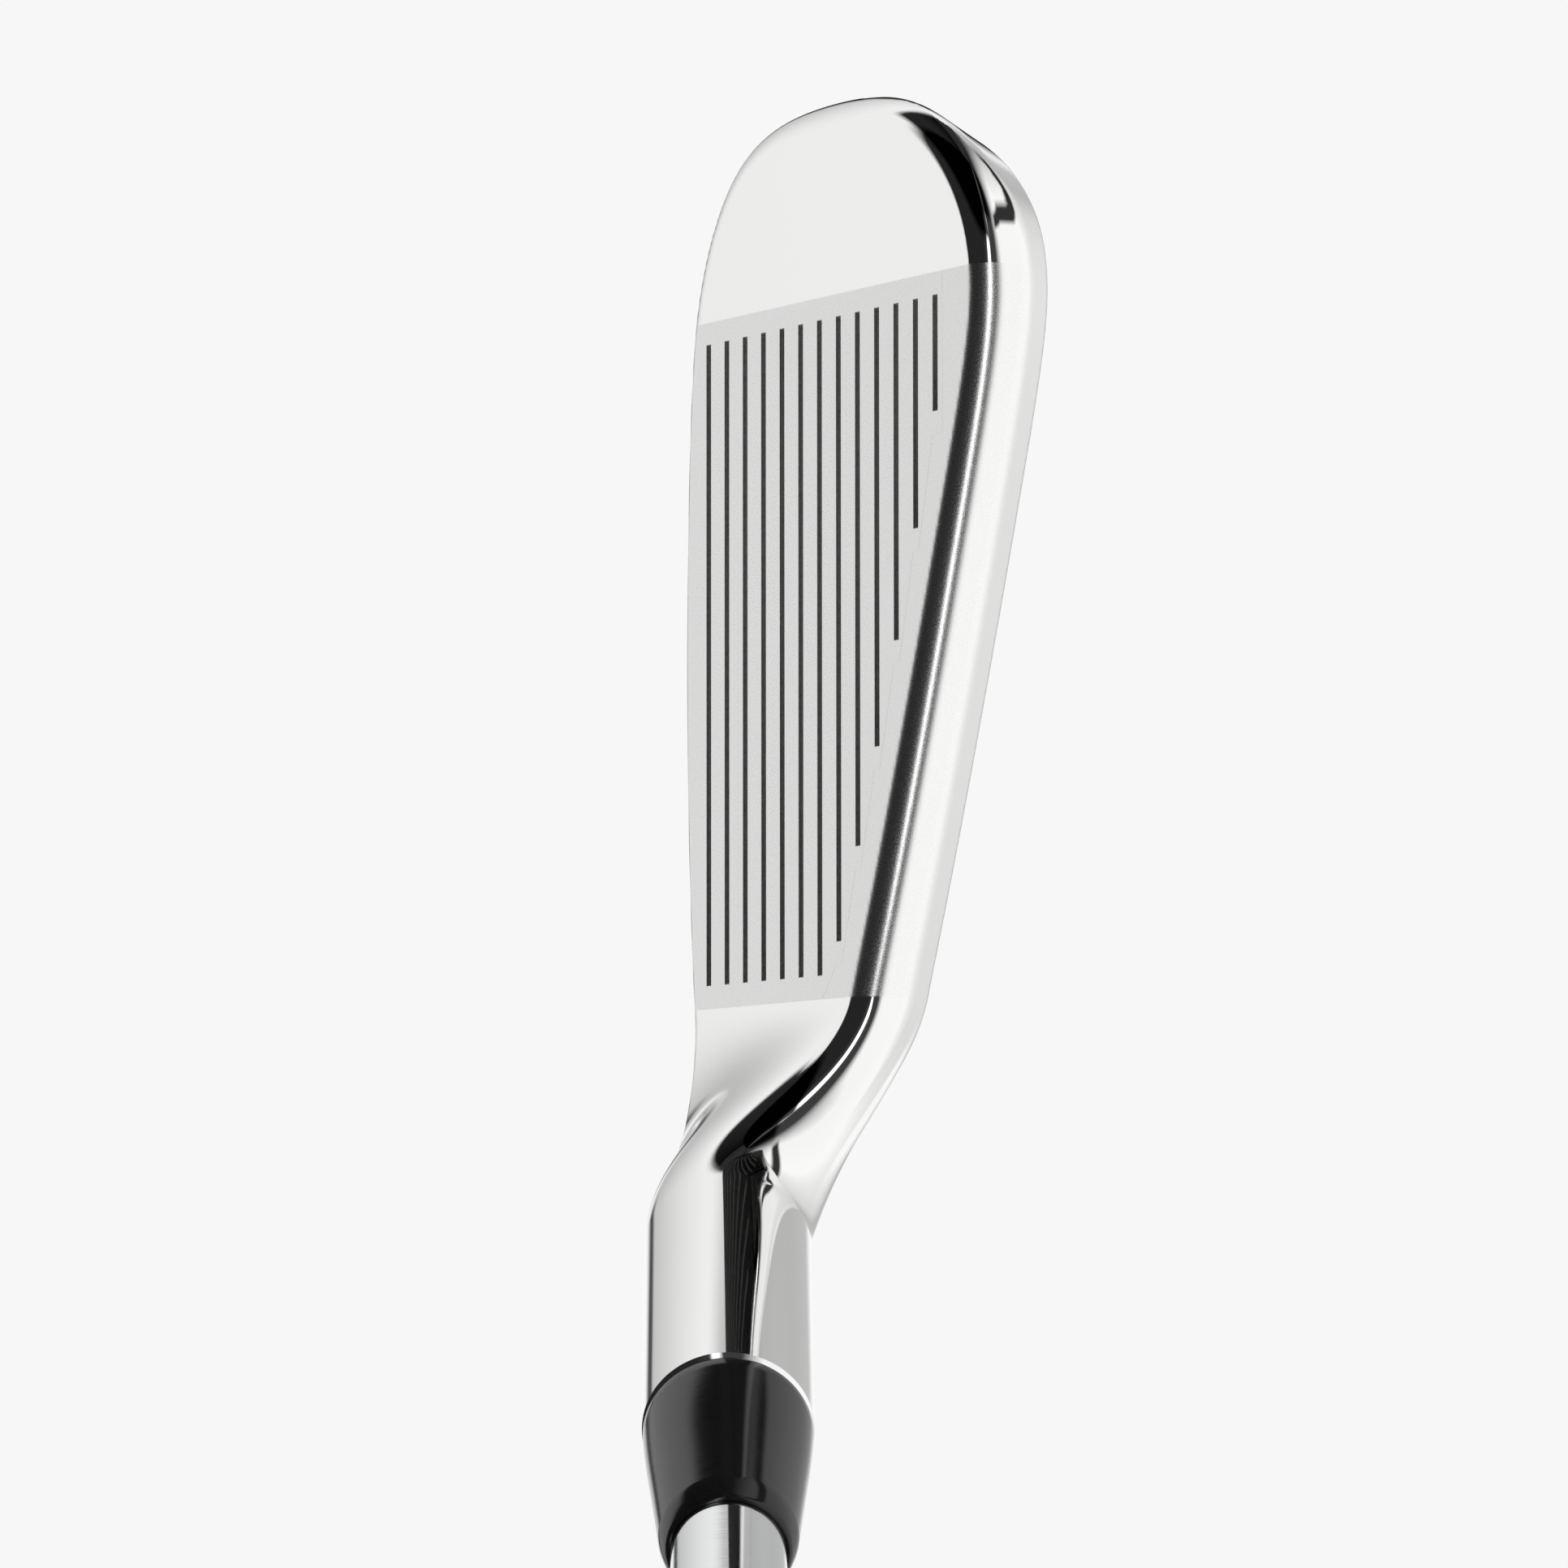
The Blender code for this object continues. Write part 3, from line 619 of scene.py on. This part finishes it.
badge = {
    "outline": [
        (-8, 30.6), (-24, 31.0), (-35.0, 31.8), (-38.4, 34.6), (-37.8, 40.4), (-34.6, 46.8), (-30.0, 50.2),
        (-23.0, 49.8), (-11.0, 45.8), (4.0, 40.0), (15.0, 35.6), (19.6, 32.8), (17.5, 31.0), (8, 30.6),
    ],
    "back": 7.3,
}


def insetLoop(loop, distance):
    along = np.roll(loop, -1, 0) - np.roll(loop, 1, 0)
    along /= np.linalg.norm(along, axis=1)[:, None]
    return loop + distance * np.stack([along[:, 1], -along[:, 0]], 1)


def makeBadge(material):
    loop = closedCurve(badge["outline"], 8)
    layers = [(0.0, 6.2), (0.0, badge["back"] - 0.3), (0.12, badge["back"] - 0.09), (0.4, badge["back"])]
    layers += [(1.3, badge["back"]), (1.5, badge["back"] - 0.22), (1.9, badge["back"] - 0.25)]
    verts, faces = [], []
    n = len(loop)
    for inset, depth in layers:
        for x, h in insetLoop(loop, inset):
            verts.append((x, h, depth))
    for r in range(len(layers) - 1):
        for i in range(n):
            j = (i + 1) % n
            faces.append((r * n + i, r * n + j, (r + 1) * n + j, (r + 1) * n + i))
    faces.append(tuple(range(n))[::-1])
    faces.append(tuple((len(layers) - 1) * n + i for i in range(n)))
    obj = meshFrom("backBadge", toWorld(np.array(verts)), faces, None, material)
    obj.data.set_sharp_from_angle(angle=math.radians(30))
    return obj


# ---- finishes

def newMaterial(name, colour, roughness, metallic):
    material = bpy.data.materials.new(name)
    material.use_nodes = True
    tree = material.node_tree
    shader = tree.nodes["Principled BSDF"]
    shader.inputs["Base Color"].default_value = (*colour, 1)
    shader.inputs["Roughness"].default_value = roughness
    shader.inputs["Metallic"].default_value = metallic
    return material, tree, shader


def addNode(tree, kind, inputs=None, **settings):
    node = tree.nodes.new(kind)
    for key, value in settings.items():
        setattr(node, key, value)
    for key, value in (inputs or {}).items():
        if isinstance(value, bpy.types.NodeSocket):
            tree.links.new(value, node.inputs[key])
        else:
            node.inputs[key].default_value = value
    return node


def math2(tree, operation, a, b=0.0, c=0.0):
    return addNode(tree, "ShaderNodeMath", {0: a, 1: b, 2: c}, operation=operation).outputs[0]


def spread(tree, value, low, high, outLow, outHigh):
    # value from low..high to outLow..outHigh, clamped
    return addNode(tree, "ShaderNodeMapRange", {0: value, 1: low, 2: high, 3: outLow, 4: outHigh}).outputs[0]


def noise(tree, coords, scale, detail=3.0, roughness=0.55, stretch=None):
    if stretch:
        coords = addNode(tree, "ShaderNodeMapping", {"Vector": coords, "Scale": stretch}).outputs[0]
    return addNode(tree, "ShaderNodeTexNoise", {"Vector": coords, "Scale": scale, "Detail": detail, "Roughness": roughness}).outputs[0]


def bump(tree, height, strength, distance):
    return addNode(tree, "ShaderNodeBump", {"Height": height, "Strength": strength, "Distance": distance}).outputs[0]


def mixColour(tree, factor, a, b):
    node = addNode(tree, "ShaderNodeMix", {0: factor, 6: a, 7: b}, data_type="RGBA")
    return node.outputs[2]


steel = {
    "polished": (0.865, 0.862, 0.855),
    "satin": (0.90, 0.895, 0.885),
    "polishedRoughness": 0.045,
    "satinRoughness": 0.27,
}


def makeSteel():
    material, tree, shader = newMaterial("headSteel", steel["polished"], steel["polishedRoughness"], 1.0)
    coords = addNode(tree, "ShaderNodeTexCoord").outputs["Object"]
    position = addNode(tree, "ShaderNodeSeparateXYZ", {0: coords}).outputs
    # the blasted zone ends at two upright lines and at the back bevel
    edge = 0.00006
    x = position[0]
    zone = math2(tree, "MULTIPLY", spread(tree, x, head["satinFrom"] * mm - edge, head["satinFrom"] * mm + edge, 0, 1),
                 spread(tree, x, head["satinTo"] * mm - edge, head["satinTo"] * mm + edge, 1, 0))
    depth = math2(tree, "ADD", math2(tree, "MULTIPLY", math2(tree, "SUBTRACT", position[1], club["faceFoot"][1] * mm), float(faceBack[1])),
                  math2(tree, "MULTIPLY", position[2], float(faceBack[2])))
    front = spread(tree, depth, head["bevelStart"] * mm - edge, head["bevelStart"] * mm + edge, 1, 0)
    zone = math2(tree, "MULTIPLY", zone, front)
    grain = noise(tree, coords, 8200, 2.0, 0.6)
    cloud = noise(tree, coords, 90, 3.0)
    hairline = noise(tree, coords, 900, 3.0, 0.6, (1.0, 0.06, 0.06))
    satin = mixColour(tree, grain, tuple(c * 0.86 for c in steel["satin"]) + (1,), tuple(min(1, c * 1.14) for c in steel["satin"]) + (1,))
    tree.links.new(mixColour(tree, zone, (*steel["polished"], 1), satin), shader.inputs["Base Color"])
    polishedRough = spread(tree, math2(tree, "ADD", cloud, math2(tree, "MULTIPLY", hairline, 0.5)), 0.4, 1.1,
                           steel["polishedRoughness"] * 0.7, steel["polishedRoughness"] * 1.6)
    satinRough = spread(tree, grain, 0.3, 0.7, steel["satinRoughness"] * 0.9, steel["satinRoughness"] * 1.12)
    rough = addNode(tree, "ShaderNodeMix", {0: zone, 2: polishedRough, 3: satinRough}).outputs[0]
    tree.links.new(rough, shader.inputs["Roughness"])
    height = addNode(tree, "ShaderNodeMix", {0: zone, 2: math2(tree, "MULTIPLY", hairline, 0.02), 3: grain}).outputs[0]
    tree.links.new(bump(tree, height, 0.4, 0.000014), shader.inputs["Normal"])
    return material


def makeScoreSteel():
    material, tree, shader = newMaterial("scoreLine", (0.055, 0.054, 0.052), 0.6, 0.55)
    coords = addNode(tree, "ShaderNodeTexCoord").outputs["Object"]
    pits = noise(tree, coords, 3800, 3.0, 0.7)
    tree.links.new(mixColour(tree, pits, (0.12, 0.118, 0.115, 1), (0.38, 0.374, 0.364, 1)), shader.inputs["Base Color"])
    tree.links.new(spread(tree, pits, 0.3, 0.7, 0.5, 0.8), shader.inputs["Roughness"])
    tree.links.new(bump(tree, pits, 0.6, 0.00008), shader.inputs["Normal"])
    return material


def makeFerrulePlastic():
    material, tree, shader = newMaterial("ferrulePlastic", (0.012, 0.012, 0.013), 0.09, 0.0)
    coords = addNode(tree, "ShaderNodeTexCoord").outputs["Object"]
    rub = noise(tree, coords, 1400, 3.0, 0.6, (1.0, 1.0, 5.0))
    tree.links.new(spread(tree, rub, 0.3, 0.75, 0.07, 0.16), shader.inputs["Roughness"])
    shader.inputs["Specular IOR Level"].default_value = 0.33
    tree.links.new(mixColour(tree, rub, (0.008, 0.008, 0.009, 1), (0.018, 0.018, 0.02, 1)), shader.inputs["Base Color"])
    tree.links.new(bump(tree, rub, 0.25, 0.000012), shader.inputs["Normal"])
    return material


def makeShaftChrome():
    material, tree, shader = newMaterial("shaftChrome", (0.80, 0.805, 0.81), 0.06, 1.0)
    coords = addNode(tree, "ShaderNodeTexCoord").outputs["Object"]
    grind = noise(tree, coords, 260, 4.0, 0.6, (1.0, 1.0, 9.0))
    smear = noise(tree, coords, 40, 3.0)
    tree.links.new(spread(tree, math2(tree, "ADD", grind, smear), 0.7, 1.3, 0.04, 0.12), shader.inputs["Roughness"])
    tree.links.new(mixColour(tree, smear, (0.77, 0.775, 0.78, 1), (0.84, 0.845, 0.85, 1)), shader.inputs["Base Color"])
    tree.links.new(bump(tree, grind, 0.12, 0.00002), shader.inputs["Normal"])
    return material


def makeGripRubber():
    material, tree, shader = newMaterial("gripRubber", (0.03, 0.03, 0.031), 0.7, 0.0)
    coords = addNode(tree, "ShaderNodeTexCoord").outputs["Object"]
    position = addNode(tree, "ShaderNodeSeparateXYZ", {0: coords}).outputs
    around = math2(tree, "ARCTAN2", position[1], position[0])
    along = math2(tree, "MULTIPLY", position[2], 1 / mm)
    # crossed spiral grooves leave diamonds, with two plain belts between the patterned lengths
    turnsPerMm = 2 * math.pi / 5.2
    lines = []
    for sense in (10.0, -10.0):
        wave = math2(tree, "SINE", math2(tree, "ADD", math2(tree, "MULTIPLY", around, sense), math2(tree, "MULTIPLY", along, turnsPerMm)))
        lines.append(spread(tree, math2(tree, "ABSOLUTE", wave), 0.0, 0.34, 0.0, 1.0))
    diamonds = math2(tree, "MINIMUM", lines[0], lines[1])
    patterned = math2(tree, "MULTIPLY", spread(tree, along, grip["mouth"] + 17, grip["mouth"] + 18, 0, 1),
                      spread(tree, along, grip["end"] - 12, grip["end"] - 11, 1, 0))
    for low in (grip["mouth"] + 86, grip["mouth"] + 172):
        belt = math2(tree, "MAXIMUM", spread(tree, along, low, low + 0.6, 1, 0), spread(tree, along, low + 7.4, low + 8, 0, 1))
        patterned = math2(tree, "MULTIPLY", patterned, belt)
    raised = addNode(tree, "ShaderNodeMix", {0: patterned, 2: 1.0, 3: diamonds}).outputs[0]
    skin = noise(tree, coords, 2400, 3.0, 0.65)
    height = math2(tree, "ADD", raised, math2(tree, "MULTIPLY", skin, 0.12))
    tree.links.new(bump(tree, height, 0.9, 0.00045), shader.inputs["Normal"])
    dust = noise(tree, coords, 60, 3.0)
    # painted shade: the grooves between the diamonds are coloured darker than the raised diamonds, and the dust noise
    # adds random tone on top
    tone = math2(tree, "MULTIPLY", math2(tree, "ADD", raised, dust), 0.5)
    tree.links.new(mixColour(tree, tone, (0.014, 0.014, 0.015, 1), (0.042, 0.042, 0.043, 1)), shader.inputs["Base Color"])
    tree.links.new(spread(tree, skin, 0.3, 0.7, 0.62, 0.82), shader.inputs["Roughness"])
    return material


def makeCapRubber():
    material, tree, shader = newMaterial("capRubber", (0.026, 0.026, 0.027), 0.55, 0.0)
    coords = addNode(tree, "ShaderNodeTexCoord").outputs["Object"]
    skin = noise(tree, coords, 1800, 3.0, 0.6)
    tree.links.new(spread(tree, skin, 0.3, 0.7, 0.45, 0.66), shader.inputs["Roughness"])
    tree.links.new(mixColour(tree, skin, (0.02, 0.02, 0.021, 1), (0.036, 0.036, 0.037, 1)), shader.inputs["Base Color"])
    tree.links.new(bump(tree, skin, 0.4, 0.00006), shader.inputs["Normal"])
    return material


def makeBandFilm():
    material, tree, shader = newMaterial("bandFilm", (0.04, 0.042, 0.046), 0.3, 0.0)
    coords = addNode(tree, "ShaderNodeTexCoord").outputs["Object"]
    position = addNode(tree, "ShaderNodeSeparateXYZ", {0: coords}).outputs
    along = math2(tree, "MULTIPLY", position[2], 1 / mm)
    stripe = None
    for low, high in ((band["low"] + 2.5, band["low"] + 4), (band["low"] + 6, band["low"] + 6.6), (band["high"] - 4, band["high"] - 2.5),
                      (band["high"] - 6.6, band["high"] - 6), (band["low"] + 26, band["high"] - 26)):
        part = math2(tree, "MULTIPLY", spread(tree, along, low - 0.05, low + 0.05, 0, 1), spread(tree, along, high - 0.05, high + 0.05, 1, 0))
        stripe = part if stripe is None else math2(tree, "MAXIMUM", stripe, part)
    fleck = noise(tree, coords, 3000, 2.0)
    tree.links.new(mixColour(tree, stripe, (0.03, 0.032, 0.036, 1), (0.62, 0.62, 0.61, 1)), shader.inputs["Base Color"])
    tree.links.new(stripe, shader.inputs["Metallic"])
    tree.links.new(spread(tree, fleck, 0.3, 0.7, 0.24, 0.38), shader.inputs["Roughness"])
    tree.links.new(bump(tree, fleck, 0.15, 0.00002), shader.inputs["Normal"])
    return material


def makeBadgeAlloy():
    material, tree, shader = newMaterial("badgeAlloy", (0.05, 0.051, 0.055), 0.35, 0.9)
    coords = addNode(tree, "ShaderNodeTexCoord").outputs["Object"]
    brushed = noise(tree, coords, 1500, 4.0, 0.6, (0.04, 1.0, 1.0))
    tree.links.new(mixColour(tree, brushed, (0.035, 0.036, 0.04, 1), (0.11, 0.112, 0.12, 1)), shader.inputs["Base Color"])
    tree.links.new(spread(tree, brushed, 0.3, 0.7, 0.26, 0.45), shader.inputs["Roughness"])
    tree.links.new(bump(tree, brushed, 0.25, 0.00002), shader.inputs["Normal"])
    return material


def coatHidden(node, tint, roughness, metallic):
    # pieces inside the club keep their own shape and get a plain workshop finish
    material, tree, shader = newMaterial(node + "Finish", tint, roughness, metallic)
    coords = addNode(tree, "ShaderNodeTexCoord").outputs["Object"]
    speck = noise(tree, coords, 900, 3.0)
    tree.links.new(mixColour(tree, speck, tuple(c * 0.8 for c in tint) + (1,), tuple(min(1, c * 1.15) for c in tint) + (1,)),
                   shader.inputs["Base Color"])
    tree.links.new(spread(tree, speck, 0.3, 0.7, roughness * 0.85, min(1, roughness * 1.15)), shader.inputs["Roughness"])
    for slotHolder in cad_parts[node].material_slots:
        slotHolder.material = material


# ---- the pieces, put on the frame

steelMaterial = makeSteel()
bladePiece, neckSection = makeHead(steelMaterial)
neckPiece = makeNeck(neckSection, steelMaterial)
for piece in (bladePiece, neckPiece):
    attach(piece, "root")
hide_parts("head_body")

facePiece = makeScoredFace(steelMaterial, makeScoreSteel())
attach(facePiece, "root")
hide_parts("face_plate")

for made, node, slotName in (
    (makeFerrule(makeFerrulePlastic()), "ferrule", "black_plastic"),
    (makeShaft(makeShaftChrome()), "shaft", "chrome"),
    (makeBand(makeBandFilm()), "shaft_band", "label"),
    (makeGrip(makeGripRubber()), "grip", "black_rubber"),
    (makeGripCap(makeCapRubber()), "grip_cap", "black_rubber"),
    (makeBadge(makeBadgeAlloy()), "back_badge", "badge_alloy"),
):
    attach(made, "root")
    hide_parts(node)
print("turned pieces and badge")

for node, tint, roughness, metallic in (
    ("toe_weight", (0.28, 0.28, 0.30), 0.45, 1.0), ("damping_fill", (0.55, 0.62, 0.66), 0.6, 0.0),
    ("port_plug", (0.78, 0.78, 0.79), 0.3, 1.0), ("badge_tape", (0.85, 0.83, 0.78), 0.8, 0.0),
    ("epoxy_sleeve", (0.62, 0.58, 0.45), 0.5, 0.0), ("tip_weight", (0.72, 0.55, 0.25), 0.3, 1.0),
    ("grip_tape", (0.85, 0.83, 0.78), 0.8, 0.0),
):
    coatHidden(node, tint, roughness, metallic)


# ---- floor, light and camera

studio = {
    "floorTone": 0.93,
    "floorSize": 6.0,
}


def makeFloor():
    bpy.ops.mesh.primitive_plane_add(size=studio["floorSize"], location=(0.2, 0, -0.0004))
    floor = bpy.context.object
    floor.name = "paleFloor"
    material = bpy.data.materials.new("paleFloor")
    material.use_nodes = True
    tree = material.node_tree
    tree.nodes.clear()
    glow = addNode(tree, "ShaderNodeEmission", {"Color": (studio["floorTone"],) * 3 + (1,), "Strength": 1.0})
    output = addNode(tree, "ShaderNodeOutputMaterial")
    tree.links.new(glow.outputs[0], output.inputs[0])
    floor.data.materials.append(material)
    floor.visible_glossy = False


def makeWorld():
    world = bpy.data.worlds.new("studioTent")
    bpy.context.scene.world = world
    world.use_nodes = True
    tree = world.node_tree
    tree.nodes.clear()
    direction = addNode(tree, "ShaderNodeTexCoord").outputs["Generated"]
    d = addNode(tree, "ShaderNodeSeparateXYZ", {0: direction}).outputs
    lean = math2(tree, "ARCTAN2", d[1], d[2])      # 0 overhead, positive towards +Y
    lean = math2(tree, "MULTIPLY", lean, 180 / math.pi)
    stops = [(-180, 1.0), (-121, 0.97), (-114, 0.02), (-34, 0.02), (-26, 0.04), (-20, 0.05), (-16, 3.0), (-11, 3.0), (-6, 0.05),
             (16, 0.05), (38, 1.05), (84, 1.1), (100, 0.95), (135, 0.75), (150, 0.52), (162, 0.56), (169, 1.0), (180, 1.0)]
    ramp = addNode(tree, "ShaderNodeFloatCurve", {"Value": spread(tree, lean, -180, 180, 0, 1)})
    curve = ramp.mapping.curves[0]
    while len(curve.points) < len(stops):
        curve.points.new(0.5, 0.5)
    for point, (angle, level) in zip(curve.points, stops):
        point.location = ((angle + 180) / 360, level / 3)
        point.handle_type = "VECTOR"
    ramp.mapping.update()
    level = math2(tree, "MULTIPLY", ramp.outputs[0], 3)
    # dark card beyond the toe, which the face shows to the hosel
    card = math2(tree, "MULTIPLY", spread(tree, d[0], -0.62, -0.5, 1, 0), spread(tree, d[2], -0.55, -0.5, 0, 1))
    card = math2(tree, "MULTIPLY", card, spread(tree, d[1], -0.12, -0.06, 1, 0))
    level = math2(tree, "MULTIPLY", level, math2(tree, "SUBTRACT", 1.0, math2(tree, "MULTIPLY", card, 0.98)))
    # two narrow dark posts past the toe: one low, one behind
    post = math2(tree, "MULTIPLY", spread(tree, d[0], -0.84, -0.8, 0, 1), spread(tree, d[0], -0.73, -0.69, 1, 0))
    post = math2(tree, "MULTIPLY", post, spread(tree, d[1], 0.3, 0.4, 0, 1))
    foot = math2(tree, "MULTIPLY", spread(tree, d[2], -0.84, -0.8, 1, 0), spread(tree, d[0], -0.12, -0.04, 1, 0))
    foot = math2(tree, "MULTIPLY", foot, spread(tree, math2(tree, "ABSOLUTE", d[1]), 0.1, 0.2, 1, 0))
    dark = math2(tree, "MAXIMUM", post, foot)
    level = math2(tree, "MULTIPLY", level, math2(tree, "SUBTRACT", 1.0, math2(tree, "MULTIPLY", dark, 0.97)))
    # soft dark patch straight past the toe, which the ferrule shows down its middle
    patch = math2(tree, "MULTIPLY", spread(tree, math2(tree, "ABSOLUTE", d[1]), 0.08, 0.42, 1, 0), spread(tree, d[2], -0.6, -0.54, 0, 1))
    patch = math2(tree, "MULTIPLY", patch, spread(tree, d[0], -0.82, -0.74, 1, 0))
    level = math2(tree, "MULTIPLY", level, math2(tree, "SUBTRACT", 1.0, math2(tree, "MULTIPLY", patch, 0.97)))
    # the near table falls off in tone towards the foot of the club
    near = addNode(tree, "ShaderNodeMix", {0: spread(tree, d[2], -0.97, -0.95, 1, 0), 2: spread(tree, d[2], -0.93, -0.6, 0.55, 1.0), 3: 1.0})
    near = addNode(tree, "ShaderNodeMix", {0: spread(tree, d[1], -0.02, 0.02, 0, 1), 2: near.outputs[0], 3: 1.0}).outputs[0]
    level = math2(tree, "MULTIPLY", level, near)
    # thin dark edge of the table on the near side
    rail = math2(tree, "MULTIPLY", spread(tree, lean, -163, -161, 0, 1), spread(tree, lean, -158, -155, 1, 0))
    rail = math2(tree, "MULTIPLY", rail, math2(tree, "MULTIPLY", spread(tree, d[0], -0.22, -0.17, 0, 1), spread(tree, d[2], -0.91, -0.89, 1, 0)))
    level = math2(tree, "MULTIPLY", level, math2(tree, "SUBTRACT", 1.0, math2(tree, "MULTIPLY", rail, 0.85)))
    seen = addNode(tree, "ShaderNodeLightPath").outputs["Is Camera Ray"]
    shown = addNode(tree, "ShaderNodeMix", {0: seen, 2: level, 3: studio["floorTone"]}).outputs[0]
    glow = addNode(tree, "ShaderNodeBackground", {"Strength": shown, "Color": (1.0, 1.0, 1.0, 1)})
    output = addNode(tree, "ShaderNodeOutputWorld")
    tree.links.new(glow.outputs[0], output.inputs[0])


def makeCamera():
    data = bpy.data.cameras.new("overheadCamera")
    data.sensor_width = 36
    data.lens = 231.1
    data.clip_start, data.clip_end = 0.05, 20
    camera = bpy.data.objects.new("overheadCamera", data)
    camera.location = (0.065757, -0.005288, 0.858574)
    camera.rotation_euler = [math.radians(a) for a in (3.7338, -0.42326, 89.96323)]
    bpy.context.scene.collection.objects.link(camera)
    bpy.context.scene.camera = camera


makeFloor()
makeWorld()
makeCamera()
bpy.context.scene.view_settings.view_transform = "Standard"
print("floor, light and camera")
